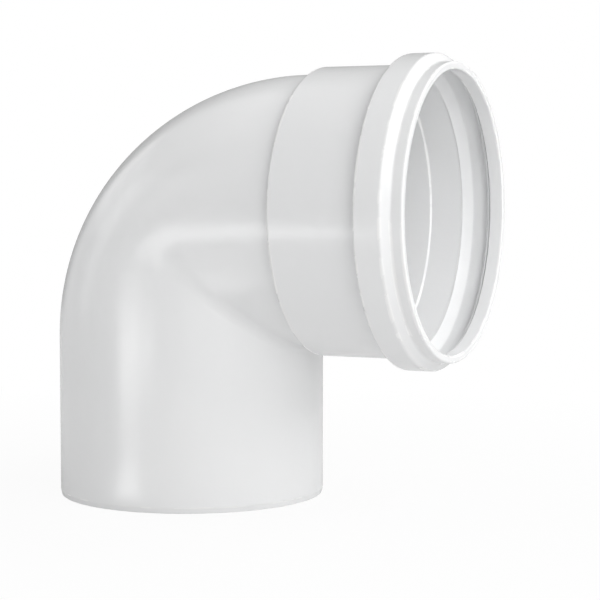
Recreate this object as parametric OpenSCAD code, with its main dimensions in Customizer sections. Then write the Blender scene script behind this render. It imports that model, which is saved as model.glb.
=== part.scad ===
// Push-fit drain elbow, 90 degrees, DN 100: plain spigot down, ring-seal
// socket to the side.
// Frame: origin at the centre of the spigot's end face, +Z up the spigot axis,
// +X along the socket axis, units mm.

/* [Spigot] */
// Outside diameter of the spigot, the same as the pipe
spigot_od = 101.6; // [100:0.1:112]
// Wall thickness of the moulding
wall = 2.2; // [1.8:0.1:4]
// Spigot end face to the socket axis
end_to_axis = 108.5; // [104:0.5:140]
// Length of the lead-in taper at the spigot end
lead_length = 2; // [1:0.5:8]
// Radial depth of the lead-in taper
lead_depth = 0.4; // [0.2:0.1:1.5]

/* [Bend] */
// Distance of the heel's turning centre from both axes
heel_radius = 51; // [48:0.5:51]
// Radius of the arc that the widest line of the bend follows
crown_radius = 32; // [30:1:40]

/* [Socket] */
// Spigot axis to the outside shoulder where the socket begins
shoulder_x = 57.5; // [57.5:0.5:62]
// Length from the shoulder to the mouth face
socket_length = 51; // [46:0.5:70]
// Outside diameter of the socket barrel
socket_od = 107; // [106.4:0.2:112]
// Clearance of the tight bore over the pipe, on diameter
fit_clearance = 0.4; // [0.2:0.1:1]
// Clearance of the entry bore and lip over the pipe, on diameter
entry_clearance = 1.4; // [1:0.1:2.4]
// Depth of the entry bore behind the mouth face
entry_depth = 29.5; // [28:0.5:36]

/* [Ring housing] */
// Outside diameter of the bead over the ring groove
bead_od = 115; // [114.6:0.2:118]
// Width of the bead
bead_width = 10; // [9:0.5:14]
// Mouth face to the front edge of the bead
bead_to_mouth = 7; // [6:0.5:10]
// Outside diameter of the lip in front of the bead
lip_od = 108.6; // [108:0.2:112]
// Diameter of the groove floor
groove_d = 110.6; // [110:0.2:111]
// Width of the groove floor
groove_width = 6.4; // [6:0.2:6.6]
// Height of the square step at the rear of the groove's cone
cone_step = 0.6; // [0.5:0.1:0.8]

/* [Sealing ring] */
// Thickness of the ring's base band
ring_base = 0.7; // [0.6:0.1:0.9]
// Radial clearance of the ring's lip over the tight bore
ring_relief = 0.3; // [0.2:0.1:0.5]
// Gap left between the ring and the groove
ring_gap = 0.05; // [0.02:0.01:0.1]

/* [Hidden] */
$fn = 96;
ro = spigot_od / 2;
ri = ro - wall;
rs = socket_od / 2;
rt = ro + fit_clearance / 2;
re = ro + entry_clearance / 2;
rb = bead_od / 2;
rl = lip_od / 2;
rg = groove_d / 2;
mouth_x = shoulder_x + socket_length;
stop_x = shoulder_x + 2;
entry_x = mouth_x - entry_depth;
bead_front = mouth_x - bead_to_mouth;
bead_rear = bead_front - bead_width;
floor_front = bead_front - 0.1;
floor_rear = floor_front - groove_width;
cone_r = re + cone_step;
cone_rear = floor_rear - (rg - cone_r);
front_slope = 2;
fan = heel_radius + 5;
// both skins of the faceted bend are this much smaller than the round tubes
bend_step = 0.1;
bend_steps = 16;
bend_sides = 48;

// The bend is drawn as sections on planes through the line x = fan, z = -fan;
// a is the turn from the spigot's end of the bend.
// Half-width of a leg of radius r at height y across it
function half(r, y) = sqrt(max(0, r * r - y * y));
// heel side: straight line, then an arc of radius c + w about (c, -c), where c
// grows from crown_radius at the widest line to heel_radius at the heel of a
// tube of radius r
function reach_heel(a, w, r) =
  let (
    b = min(a, 90 - a),
    c = crown_radius + (heel_radius - crown_radius) * w / r,
    g = fan - c,
    t = g * (cos(a) + sin(a))
  )
  (fan + w) * tan(b) - fan < -c ? (fan + w) / cos(b)
    : t + sqrt(t * t - 2 * g * g + pow(c + w, 2));
// throat side: two straight lines meeting on the mitre
function reach_throat(a, w) = (fan - w) / cos(min(a, 90 - a));
// half-width at the crown of a section, where the two sides meet
function meet(a, lo, hi, n) =
  let (m = (lo + hi) / 2)
  n == 0 ? m : reach_heel(a, m, ro) < reach_throat(a, m) ? meet(a, m, hi, n - 1) : meet(a, lo, m, n - 1);
function crown_w(a) = reach_heel(a, 0, ro) > reach_throat(a, 0) - 1e-6 ? 0 : meet(a, 0, 25, 30);
crowns = [for (i = [0:bend_steps]) crown_w(90 * i / bend_steps)];
function bend_point(r, i, u) =
  let (
    a = 90 * i / bend_steps,
    y = half(r, crowns[i]) * sin(u),
    w = half(r, y),
    s = cos(u) >= 0 ? reach_heel(a, w, r) : reach_throat(a, w)
  )
  [fan - s * cos(a), y, s * sin(a) - fan];
function loop_points(r) = [for (i = [0:bend_steps], j = [0:bend_sides - 1])
  bend_point(r, i, 360 * (j + 0.5) / bend_sides)];

// thick bend with the waterway through it
module bend_shell() {
  m = bend_sides;
  n = bend_steps;
  inner = (n + 1) * m;
  polyhedron(
    points = concat(loop_points(ro - bend_step), loop_points(ri - bend_step)),
    faces = concat(
      [for (i = [0:n - 1], j = [0:m - 1]) each [
        [i * m + j, (i + 1) * m + (j + 1) % m, (i + 1) * m + j],
        [i * m + j, i * m + (j + 1) % m, (i + 1) * m + (j + 1) % m]
      ]],
      [for (i = [0:n - 1], j = [0:m - 1]) each [
        [inner + i * m + j, inner + (i + 1) * m + j, inner + (i + 1) * m + (j + 1) % m],
        [inner + i * m + j, inner + (i + 1) * m + (j + 1) % m, inner + i * m + (j + 1) % m]
      ]],
      [for (j = [0:m - 1]) each [
        [j, inner + (j + 1) % m, (j + 1) % m],
        [j, inner + j, inner + (j + 1) % m],
        [n * m + j, n * m + (j + 1) % m, inner + n * m + (j + 1) % m],
        [n * m + j, inner + n * m + (j + 1) % m, inner + n * m + j]
      ]]
    )
  );
}

// straight spigot tube with its lead-in taper, z from the end face
module spigot_tube() {
  rotate_extrude()
    polygon([
      [ri, 0], [ro - lead_depth, 0], [ro, lead_length],
      [ro, end_to_axis - fan], [ri, end_to_axis - fan]
    ]);
}

// socket: shoulder, barrel, bead over the groove, lip; inside it the pipe
// stop, tight bore, entry bore, groove and lip bore
module socket_profile() {
  polygon([
    [ri, fan], [ro, fan], [ro, shoulder_x],
    [rs - 0.8, shoulder_x + 0.2], [rs, shoulder_x + 1.2],
    [rs, bead_rear - 0.3], [rs + 0.4, bead_rear],
    [rb - 0.5, bead_rear], [rb, bead_rear + 0.5],
    [rb, bead_front - 0.2], [rb - 0.2, bead_front],
    [rl, bead_front + 2.7], [rl, mouth_x - 0.6], [rl - 0.6, mouth_x],
    [re + 0.5, mouth_x], [re, mouth_x - 0.5],
    [re, floor_front + front_slope], [rg, floor_front], [rg, floor_rear],
    [cone_r, cone_rear], [re, cone_rear], [re, entry_x + 0.3], [rt, entry_x - 0.3],
    [rt, stop_x], [ri, stop_x]
  ]);
}

module along_x() {
  translate([0, 0, end_to_axis]) rotate([0, 90, 0]) children();
}

module elbow_body() {
  color([0.93, 0.93, 0.92])
    union() {
      spigot_tube();
      translate([0, 0, end_to_axis]) bend_shell();
      along_x() rotate_extrude() socket_profile();
    }
}

// elastomer ring lying in the groove: a base band on the floor, a lip that
// runs back and inward over the cone, as a pipe presses it, and a short
// front flap against the front slope
module sealing_ring() {
  lip = rt + ring_relief;
  band = rg - ring_base;
  outside = rg - ring_gap;
  lip_rear = cone_rear + ring_gap;
  lip_front = lip_rear + 0.3;
  steep = (rg - re) / front_slope;
  flap_r = re + 0.7;
  flap_x = floor_front + (rg - flap_r) / steep - ring_gap;
  flap_wall = 0.7;
  color([0.86, 0.86, 0.86])
    along_x() rotate_extrude()
      polygon([
        [lip + 0.2, lip_rear], [lip, lip_rear + 0.15], [lip, lip_front],
        [band, lip_front + band - lip],
        [band, flap_x - flap_wall - (band - flap_r) / steep],
        [flap_r, flap_x - flap_wall], [flap_r, flap_x],
        [outside, floor_front - ring_gap],
        [outside, floor_rear + 2 * ring_gap],
        [cone_r - 2 * ring_gap, lip_rear]
      ]);
}

elbow_body();
sealing_ring();
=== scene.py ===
"""Looks of the push-fit drain elbow: one moulded shell, the sealing ring, and a white studio."""

import math

import bpy
import numpy as np
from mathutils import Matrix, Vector


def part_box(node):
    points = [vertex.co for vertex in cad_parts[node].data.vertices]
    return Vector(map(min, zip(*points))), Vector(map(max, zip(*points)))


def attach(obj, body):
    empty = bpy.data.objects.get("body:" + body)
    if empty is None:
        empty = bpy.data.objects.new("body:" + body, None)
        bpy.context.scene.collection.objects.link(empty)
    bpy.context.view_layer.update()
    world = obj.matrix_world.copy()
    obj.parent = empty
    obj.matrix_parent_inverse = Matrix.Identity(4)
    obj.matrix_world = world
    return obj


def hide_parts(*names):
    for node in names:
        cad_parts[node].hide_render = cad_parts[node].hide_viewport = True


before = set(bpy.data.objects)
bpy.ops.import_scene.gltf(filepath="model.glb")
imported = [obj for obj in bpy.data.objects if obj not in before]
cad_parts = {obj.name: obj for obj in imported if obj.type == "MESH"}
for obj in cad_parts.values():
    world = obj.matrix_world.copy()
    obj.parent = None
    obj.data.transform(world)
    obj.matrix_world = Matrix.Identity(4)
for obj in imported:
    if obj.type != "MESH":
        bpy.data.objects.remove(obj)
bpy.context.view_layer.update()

MM = 0.001

# ---------------------------------------------------------------- sizes, mm
# The outside comes from the CAD body's own box.
low, high = (np.array(corner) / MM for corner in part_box("elbow_body"))
PIPE_R = -low[0]
BEAD_R = high[1]
AXIS_Z = high[2] - BEAD_R
MOUTH_X = high[0]

WALL = 2.2
LEAD_LENGTH = 2.0
LEAD_DEPTH = 0.4
HEEL_RADIUS = 51.0
CROWN_RADIUS = 32.0
FAN = HEEL_RADIUS + 5.0
SHOULDER_X = MOUTH_X - 51.0
BARREL_R = PIPE_R + 2.7
LIP_R = PIPE_R + 3.5
BEAD_FRONT = MOUTH_X - 7.0
BEAD_REAR = BEAD_FRONT - 10.0
CHAMFER_LENGTH = 2.7
TIGHT_R = PIPE_R + 0.2
ENTRY_R = PIPE_R + 0.7
ENTRY_X = MOUTH_X - 29.5
STOP_X = SHOULDER_X + 2.0
GROOVE_R = PIPE_R + 4.5
GROOVE_FRONT = BEAD_FRONT - 0.1
GROOVE_REAR = GROOVE_FRONT - 6.4
CONE_R = ENTRY_R + 0.6
CONE_REAR = GROOVE_REAR - (GROOVE_R - CONE_R)
RING_LIP_R = TIGHT_R + 0.3
RING_BAND_R = GROOVE_R - 0.7
RING_GAP = 0.05
RING_OUT_R = GROOVE_R - RING_GAP
FRONT_SLOPE = 2.0

THROAT_BLEND = 3.0
CROWN_BLEND = 1.5
PARTING_HEIGHT = 0.12
PARTING_HALF_WIDTH = 0.35

COLUMNS = 240
ARC_STEPS = 5
SUPPORT = 0.3


# ------------------------------------------------------------ outline tools
def rounded(corners):
    """Points along (position, radius, fillet) corners, each corner turned into an arc.

    Returns rows of (position, radius, wear), where wear is 1 on a fillet and 0 on a straight run.
    """
    rows = [(corners[0][0], corners[0][1], 0.0)]
    for before, corner, after in zip(corners, corners[1:], corners[2:]):
        here = Vector(corner[:2])
        back = Vector(before[:2]) - here
        ahead = Vector(after[:2]) - here
        if corner[2] == 0.0:
            rows.append((here.x, here.y, 0.0))
            continue
        half_angle = back.angle(ahead) / 2
        reach = corner[2] / math.tan(half_angle)
        reach = min(reach, 0.45 * back.length, 0.45 * ahead.length)
        start = here + back.normalized() * reach
        end = here + ahead.normalized() * reach
        if back.length - 2 * reach > 3 * SUPPORT:
            support = start + back.normalized() * SUPPORT
            rows.append((support.x, support.y, 0.0))
        for step in range(ARC_STEPS + 1):
            t = step / ARC_STEPS
            # quadratic curve through the corner, close to the arc for these small fillets
            spot = start * (1 - t) ** 2 + here * 2 * t * (1 - t) + end * t**2
            rows.append((spot.x, spot.y, 1.0))
        if ahead.length - 2 * reach > 3 * SUPPORT:
            support = end + ahead.normalized() * SUPPORT
            rows.append((support.x, support.y, 0.0))
    rows.append((corners[-1][0], corners[-1][1], 0.0))
    return rows


def column_angles():
    """Angles round a section, in radians from the heel, finer where the parting line runs."""
    even = np.arange(COLUMNS) * 2 * math.pi / COLUMNS
    fine = np.array([0.2, 0.4, 0.65, 1.0]) * PARTING_HALF_WIDTH * 1.6 / PIPE_R
    return np.sort(np.concatenate([even, fine, 2 * math.pi - fine]))


ANGLES = column_angles()


def ring_spigot(z, radius):
    """Section of the spigot at height z above the socket's axis."""
    return np.stack(
        [-radius * np.cos(ANGLES), radius * np.sin(ANGLES), np.full_like(ANGLES, z)], axis=1
    )


def ring_socket(x, radius):
    """Section of the socket at distance x from the spigot's axis."""
    return np.stack(
        [np.full_like(ANGLES, x), radius * np.sin(ANGLES), radius * np.cos(ANGLES)], axis=1
    )


# ------------------------------------------------------------------ the bend
def smooth_min(a, b, blend):
    mix = np.clip(0.5 + 0.5 * (b - a) / blend, 0.0, 1.0)
    return b + (a - b) * mix - blend * mix * (1 - mix)


def bend_distance(x, y, z, radius, turn):
    """Negative inside the bend: two crossing cylinders, cut back by the round heel.

    The heel's centre lies further from both axes at the heel itself than at the widest line.
    """
    upright = np.hypot(x, y) - radius
    level = np.hypot(y, z) - radius
    legs = smooth_min(upright, level, THROAT_BLEND)
    half = np.sqrt(np.maximum(radius**2 - y**2, 0.0))
    centre = CROWN_RADIUS + (HEEL_RADIUS - CROWN_RADIUS) * half / radius
    out = np.hypot(x - centre, z + centre) - centre
    out = np.where(z < -centre, -x, np.where(x > centre, z, out))
    heel = np.hypot(np.maximum(out, 0.0), y) - radius
    blend = CROWN_BLEND * np.sin(2 * turn) ** 2 + 1e-6
    return -smooth_min(-legs, -heel, blend)


def bend_turns():
    """Turns of the sections, in radians: about 1 degree apart, and finer on the mitre."""
    turns = np.concatenate(
        [np.arange(0, 38, 1.0), np.arange(38, 43, 0.5), np.arange(43, 45, 0.2), [45.0]]
    )
    return np.radians(np.concatenate([turns, 90 - turns[-2::-1]]))


def bend_rings(radius, parting):
    """Sections of the bend's skin, from the spigot's end to the socket's end."""
    turns = bend_turns()[:, None]
    across = np.cos(ANGLES)[None, :]
    y_way = np.sin(ANGLES)[None, :]
    near = np.zeros((turns.shape[0], ANGLES.size))
    far = np.full_like(near, 2.0 * radius)
    for _ in range(40):
        reach = (near + far) / 2
        s = FAN + reach * across
        inside = (
            bend_distance(FAN - s * np.cos(turns), reach * y_way, s * np.sin(turns) - FAN, radius, turns)
            < 0
        )
        near = np.where(inside, reach, near)
        far = np.where(inside, far, reach)
    fade = np.clip((np.sin(2 * turns) - 0.25) / 0.3, 0.0, 1.0)
    ridge = np.exp(-((near * y_way / PARTING_HALF_WIDTH) ** 2)) * (across > 0)
    reach = near + parting * PARTING_HEIGHT * fade * ridge
    s = FAN + reach * across
    rings = np.stack([FAN - s * np.cos(turns), reach * y_way, s * np.sin(turns) - FAN], axis=2)
    return list(rings)


# ----------------------------------------------------------- building meshes
def closed_mesh(name, rings, wear):
    """A mesh from sections joined in order, the last one to the first."""
    rows = len(rings)
    columns = rings[0].shape[0]
    points = np.concatenate(rings) * MM
    points[:, 2] += AXIS_Z * MM
    row = np.arange(rows)[:, None]
    column = np.arange(columns)[None, :]
    next_row = (row + 1) % rows
    next_column = (column + 1) % columns
    faces = np.stack(
        [
            row * columns + column,
            row * columns + next_column,
            next_row * columns + next_column,
            next_row * columns + column,
        ],
        axis=2,
    ).reshape(-1, 4)
    mesh = bpy.data.meshes.new(name)
    mesh.from_pydata(points.tolist(), [], faces.tolist())
    mesh.polygons.foreach_set("use_smooth", [True] * len(mesh.polygons))
    layer = mesh.attributes.new("wear", "FLOAT", "POINT")
    layer.data.foreach_set("value", np.repeat(np.array(wear, dtype=np.float32), columns))
    mesh.validate()
    mesh.update()
    piece = bpy.data.objects.new(name, mesh)
    bpy.context.scene.collection.objects.link(piece)
    return piece


def elbow_shell():
    """The moulding as one closed skin: outside from the spigot's end to the mouth, then back inside."""
    bore = PIPE_R - WALL
    leg_end = -FAN
    spigot_end = -AXIS_Z
    spigot_out = rounded(
        [
            (spigot_end, PIPE_R - LEAD_DEPTH - 1.0, 0.0),
            (spigot_end, PIPE_R - LEAD_DEPTH, 0.25),
            (spigot_end + LEAD_LENGTH, PIPE_R, 1.5),
            (leg_end, PIPE_R, 0.0),
        ]
    )
    socket_out = rounded(
        [
            (FAN, PIPE_R, 0.0),
            (SHOULDER_X, PIPE_R, 0.7),
            (SHOULDER_X + 0.2, BARREL_R, 1.1),
            (BEAD_REAR, BARREL_R, 0.7),
            (BEAD_REAR + 0.1, BEAD_R, 1.1),
            (BEAD_FRONT, BEAD_R, 1.5),
            (BEAD_FRONT + CHAMFER_LENGTH, LIP_R, 1.2),
            (MOUTH_X, LIP_R, 0.8),
            (MOUTH_X, ENTRY_R, 0.6),
            (GROOVE_FRONT + FRONT_SLOPE, ENTRY_R, 0.4),
            (GROOVE_FRONT, GROOVE_R, 0.4),
            (GROOVE_REAR, GROOVE_R, 0.5),
            (CONE_REAR, CONE_R, 0.15),
            (CONE_REAR, ENTRY_R, 0.25),
            (ENTRY_X + 0.4, ENTRY_R, 0.4),
            (ENTRY_X - 0.2, TIGHT_R, 0.4),
            (STOP_X, TIGHT_R, 0.3),
            (STOP_X, bore, 0.4),
            (FAN, bore, 0.0),
        ]
    )
    spigot_in = rounded(
        [
            (leg_end, bore, 0.0),
            (spigot_end, bore, 0.25),
            (spigot_end, PIPE_R - LEAD_DEPTH - 1.0, 0.0),
        ]
    )
    outer = bend_rings(PIPE_R, 1.0)
    inner = bend_rings(bore, 0.0)
    rings = [ring_spigot(z, r) for z, r, _ in spigot_out[:-1]]
    rings += outer
    rings += [ring_socket(x, r) for x, r, _ in socket_out[1:-1]]
    rings += inner[::-1]
    rings += [ring_spigot(z, r) for z, r, _ in spigot_in[1:-1]]
    wear = [w for _, _, w in spigot_out[:-1]]
    wear += [0.0] * len(outer)
    wear += [w for _, _, w in socket_out[1:-1]]
    wear += [0.0] * len(inner)
    wear += [w for _, _, w in spigot_in[1:-1]]
    return closed_mesh("elbow_shell", rings, wear)


def sealing_ring():
    """Elastomer ring in the groove: base band, rear lip pressed back over the cone, front flap."""
    lip_rear = CONE_REAR + RING_GAP
    ramp_rear = lip_rear + 0.3
    ramp_front = ramp_rear + RING_BAND_R - RING_LIP_R
    steep = (GROOVE_R - ENTRY_R) / FRONT_SLOPE
    flap_r = ENTRY_R + 0.7
    flap_x = GROOVE_FRONT + (GROOVE_R - flap_r) / steep - RING_GAP
    flap_wall = 0.7
    middle = (ramp_front + GROOVE_FRONT) / 2
    profile = rounded(
        [
            (middle, RING_OUT_R, 0.0),
            (GROOVE_REAR + 2 * RING_GAP, RING_OUT_R, 0.3),
            (lip_rear, CONE_R - 2 * RING_GAP, 0.1),
            (lip_rear, RING_LIP_R, 0.15),
            (ramp_rear, RING_LIP_R, 0.3),
            (ramp_front, RING_BAND_R, 0.9),
            (flap_x - flap_wall - (RING_BAND_R - flap_r) / steep, RING_BAND_R, 0.9),
            (flap_x - flap_wall, flap_r, 0.2),
            (flap_x, flap_r, 0.2),
            (GROOVE_FRONT - RING_GAP, RING_OUT_R, 0.3),
            (middle, RING_OUT_R, 0.0),
        ]
    )
    rings = [ring_socket(x, r) for x, r, _ in profile[:-1]]
    return closed_mesh("ring", rings, [w for _, _, w in profile[:-1]])


# ----------------------------------------------------------------- materials
class Nodes:
    """Short names for a material's node tree."""

    def __init__(self, name):
        self.material = bpy.data.materials.new(name)
        self.material.use_nodes = True
        self.tree = self.material.node_tree
        self.shader = self.tree.nodes["Principled BSDF"]
        self.place = self.add("ShaderNodeTexCoord").outputs["Object"]

    def add(self, kind, **settings):
        node = self.tree.nodes.new(kind)
        for key, value in settings.items():
            setattr(node, key, value)
        return node

    def link(self, output, socket):
        self.tree.links.new(output, socket)

    def noise(self, scale, detail, roughness=0.5):
        node = self.add("ShaderNodeTexNoise")
        node.inputs["Scale"].default_value = scale
        node.inputs["Detail"].default_value = detail
        node.inputs["Roughness"].default_value = roughness
        self.link(self.place, node.inputs["Vector"])
        return node.outputs["Fac"]

    def spread(self, value, lowest, highest, start=0.3, end=0.7):
        node = self.add("ShaderNodeMapRange")
        node.inputs["From Min"].default_value = start
        node.inputs["From Max"].default_value = end
        node.inputs["To Min"].default_value = lowest
        node.inputs["To Max"].default_value = highest
        self.link(value, node.inputs["Value"])
        return node.outputs["Result"]

    def math(self, operation, first, second):
        node = self.add("ShaderNodeMath", operation=operation)
        for socket, value in zip(node.inputs, (first, second)):
            if isinstance(value, float):
                socket.default_value = value
            else:
                self.link(value, socket)
        return node.outputs[0]

    def mix(self, factor, first, second):
        node = self.add("ShaderNodeMix", data_type="RGBA")
        self.link(factor, node.inputs["Factor"])
        for socket, colour in ((node.inputs[6], first), (node.inputs[7], second)):
            if isinstance(colour, tuple):
                socket.default_value = (*colour, 1.0)
            else:
                self.link(colour, socket)
        return node.outputs[2]

    def bump(self, height, distance, strength=1.0, normal=None):
        node = self.add("ShaderNodeBump")
        node.inputs["Distance"].default_value = distance
        node.inputs["Strength"].default_value = strength
        self.link(height, node.inputs["Height"])
        if normal is not None:
            self.link(normal, node.inputs["Normal"])
        return node.outputs["Normal"]


def pvc_material():
    """White semi-gloss rigid PVC, moulded, with faint flow shade and rubbed edges."""
    n = Nodes("white_pvc")
    clouds = n.spread(n.noise(14.0, 3.0), 0.0, 1.0)
    colour = n.mix(clouds, (0.855, 0.86, 0.865), (0.875, 0.878, 0.88))
    rub = n.add("ShaderNodeAttribute", attribute_name="wear").outputs["Fac"]
    patches = n.spread(n.noise(90.0, 4.0), 0.0, 1.0, 0.42, 0.62)
    rubbed = n.math("MULTIPLY", rub, patches)
    colour = n.mix(rubbed, colour, (0.89, 0.89, 0.885))
    n.link(colour, n.shader.inputs["Base Color"])
    rough = n.spread(n.noise(60.0, 5.0), 0.19, 0.25)
    rough = n.math("ADD", rough, n.math("MULTIPLY", rubbed, 0.12))
    n.link(rough, n.shader.inputs["Roughness"])
    peel = n.bump(n.noise(420.0, 2.0), 0.00003)
    grain = n.bump(n.noise(2600.0, 3.0), 0.000006, normal=peel)
    n.link(grain, n.shader.inputs["Normal"])
    n.shader.inputs["IOR"].default_value = 1.5
    return n.material


def ring_material():
    """Matt pale elastomer."""
    n = Nodes("pale_elastomer")
    clouds = n.spread(n.noise(40.0, 3.0), 0.0, 1.0)
    colour = n.mix(clouds, (0.78, 0.785, 0.79), (0.82, 0.825, 0.83))
    n.link(colour, n.shader.inputs["Base Color"])
    rough = n.spread(n.noise(200.0, 4.0), 0.5, 0.62)
    n.link(rough, n.shader.inputs["Roughness"])
    n.link(n.bump(n.noise(1500.0, 3.0), 0.00002), n.shader.inputs["Normal"])
    return n.material


# -------------------------------------------------------------------- studio
AIM = Vector((46.07, 0.0, AXIS_Z - 33.19)) * MM
CAMERA_DISTANCE = 0.6715
CAMERA_AZIMUTH = 24.78
CAMERA_ELEVATION = 3.918
LENS = 107.2

WORLD_LIGHT = 0.2
FLOOR_COLOUR = (0.8, 0.8, 0.8)
FLOOR_WHITE = 0.93
FLOOR_NEAR = 0.10
FLOOR_FAR = 0.35
FLOOR_HALF_SIDE = 6.0
FLOOR_DROP = 0.2
PANEL_DISTANCE = 1.5
PANEL_SIDE = 1.4
# name, azimuth and elevation in degrees, power in watts; the powers come from a least-squares fit
PANELS = (
    ("key_high", 70.0, 40.0, 7.9),
    ("key_side", 110.0, 40.0, 9.3),
    ("back_right", 160.0, 40.0, 3.6),
    ("top", 25.0, 80.0, 1.0),
    ("front_low", 45.0, 8.0, 10.6),
    ("left_low", -60.0, 8.0, 5.2),
    ("left_high", -95.0, 40.0, 4.3),
    ("left_rim", -95.0, 8.0, 3.3),
)
# name, aim on the crown line (x and height, mm), azimuth, elevation,
# distance, width, height, power, spread
GLINTS = (
    ("upright_glint", 0.0, 60.0, -27.0, -5.1, 0.27, 0.095, 0.068, 0.078, 180.0),
    ("socket_glint", 75.0, 104.0, -24.4, -14.0, 0.28, 0.06, 0.03, 0.022, 180.0),
)
MOUTH_FILL_AIM = (80.0, 45.0, AXIS_Z)
MOUTH_FILL_AZIMUTH = 50.0
MOUTH_FILL_ELEVATION = 6.0
MOUTH_FILL_DISTANCE = 0.5
MOUTH_FILL_SIDE = 0.08
MOUTH_FILL_SPREAD = 16.0
MOUTH_FILL_POWER = 0.0035
STRIP_AZIMUTH = -27.0
# name, nearest distance from the crown line, length, width, power
STRIPS = (
    ("floor_strip", 0.03, 0.23, 0.05, 0.027),
    ("foot_strip", 0.02, 0.09, 0.022, 0.02),
)


def towards(azimuth, elevation):
    """Unit vector from the object towards a viewer at that azimuth and elevation, in degrees."""
    a = math.radians(azimuth)
    e = math.radians(elevation)
    return Vector((math.sin(a) * math.cos(e), -math.cos(a) * math.cos(e), math.sin(e)))


def place_facing(thing, target, azimuth, elevation, distance):
    """Puts a camera or light at that distance, looking at target."""
    direction = towards(azimuth, elevation)
    thing.location = target + direction * distance
    thing.rotation_euler = direction.to_track_quat("Z", "Y").to_euler()


def add_camera():
    camera = bpy.data.objects.new("camera", bpy.data.cameras.new("camera"))
    bpy.context.scene.collection.objects.link(camera)
    camera.data.lens = LENS
    camera.data.sensor_width = 36.0
    camera.data.clip_start = 0.01
    camera.data.clip_end = 50.0
    place_facing(camera, AIM, CAMERA_AZIMUTH, CAMERA_ELEVATION, CAMERA_DISTANCE)
    bpy.context.scene.camera = camera


def add_area(name, target, azimuth, elevation, distance, width, height, power):
    light = bpy.data.objects.new(name, bpy.data.lights.new(name, "AREA"))
    bpy.context.scene.collection.objects.link(light)
    light.data.shape = "RECTANGLE"
    light.data.size = width
    light.data.size_y = height
    light.data.energy = power
    light.visible_camera = False
    place_facing(light, target, azimuth, elevation, distance)
    return light


def camera_only(tree, seen, lighting):
    """A shader that the camera sees as one closure and every other ray as another."""
    path = tree.nodes.new("ShaderNodeLightPath")
    mix = tree.nodes.new("ShaderNodeMixShader")
    tree.links.new(path.outputs["Is Camera Ray"], mix.inputs["Fac"])
    tree.links.new(lighting, mix.inputs[1])
    tree.links.new(seen, mix.inputs[2])
    return mix.outputs["Shader"]


def add_world():
    """Soft even light, in front of a white backdrop."""
    world = bpy.data.worlds.new("studio")
    bpy.context.scene.world = world
    world.use_nodes = True
    tree = world.node_tree
    soft = tree.nodes["Background"]
    soft.inputs["Color"].default_value = (1.0, 1.0, 1.0, 1.0)
    soft.inputs["Strength"].default_value = WORLD_LIGHT
    white = tree.nodes.new("ShaderNodeBackground")
    white.inputs["Color"].default_value = (1.0, 1.0, 1.0, 1.0)
    shader = camera_only(tree, white.outputs["Background"], soft.outputs["Background"])
    tree.links.new(shader, tree.nodes["World Output"].inputs["Surface"])


def floor_material():
    """Pale matt floor that washes out to white, as an overlit sweep does, away from the object."""
    n = Nodes("floor")
    n.shader.inputs["Base Color"].default_value = (*FLOOR_COLOUR, 1.0)
    n.shader.inputs["Roughness"].default_value = 1.0
    n.shader.inputs["Specular IOR Level"].default_value = 0.0
    white = n.add("ShaderNodeEmission")
    white.inputs["Color"].default_value = (1.0, 1.0, 1.0, 1.0)
    length = n.add("ShaderNodeVectorMath", operation="LENGTH")
    n.link(n.place, length.inputs[0])
    fade = n.spread(length.outputs["Value"], FLOOR_WHITE, 1.0, FLOOR_NEAR, FLOOR_FAR)
    wash = n.add("ShaderNodeMixShader")
    n.link(fade, wash.inputs["Fac"])
    n.link(n.shader.outputs["BSDF"], wash.inputs[1])
    n.link(white.outputs["Emission"], wash.inputs[2])
    shader = camera_only(n.tree, wash.outputs["Shader"], n.shader.outputs["BSDF"])
    n.link(shader, n.tree.nodes["Material Output"].inputs["Surface"])
    return n.material


def add_floor():
    side = FLOOR_HALF_SIDE
    corners = [(-side, -side, 0), (side, -side, 0), (side, side, 0), (-side, side, 0)]
    mesh = bpy.data.meshes.new("floor")
    mesh.from_pydata(corners, [], [(0, 1, 2, 3)])
    mesh.materials.append(floor_material())
    floor = bpy.data.objects.new("floor", mesh)
    bpy.context.scene.collection.objects.link(floor)
    floor.location.z = -FLOOR_DROP * MM


def add_lights():
    """Big soft panels, mostly from the right."""
    for name, azimuth, elevation, power in PANELS:
        add_area(name, AIM, azimuth, elevation, PANEL_DISTANCE, PANEL_SIDE, PANEL_SIDE, power)


def add_mouth_fill():
    """Narrow beam into the mouth, so that the bore stays pale."""
    inside = Vector(MOUTH_FILL_AIM) * MM
    fill = add_area(
        "mouth_fill",
        inside,
        MOUTH_FILL_AZIMUTH,
        MOUTH_FILL_ELEVATION,
        MOUTH_FILL_DISTANCE,
        MOUTH_FILL_SIDE,
        MOUTH_FILL_SIDE,
        MOUTH_FILL_POWER,
    )
    fill.data.spread = math.radians(MOUTH_FILL_SPREAD)


def add_glints():
    """Lights seen only in gloss, for the bright line along the crown: low panels, and strips on the floor."""
    for name, x, z, azimuth, elevation, distance, width, height, power, spread in GLINTS:
        crown = Vector((x, -PIPE_R, z)) * MM
        glint = add_area(name, crown, azimuth, elevation, distance, width, height, power)
        glint.data.spread = math.radians(spread)
        glint.visible_diffuse = False
    crown = Vector((0.0, -PIPE_R, 1.0)) * MM
    for name, start, length, width, power in STRIPS:
        strip = add_area(name, crown, STRIP_AZIMUTH, 0.0, start + length / 2, width, length, power)
        strip.rotation_euler = (math.pi, 0.0, math.radians(STRIP_AZIMUTH))
        strip.visible_diffuse = False


# --------------------------------------------------------------------- build
add_camera()
shell = elbow_shell()
shell.data.materials.append(pvc_material())
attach(shell, "root")
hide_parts("elbow_body")

ring = sealing_ring()
ring.data.materials.append(ring_material())
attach(ring, "root")
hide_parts("sealing_ring")

bpy.context.scene.view_settings.view_transform = "Standard"
add_world()
add_floor()
add_lights()
add_mouth_fill()
add_glints()
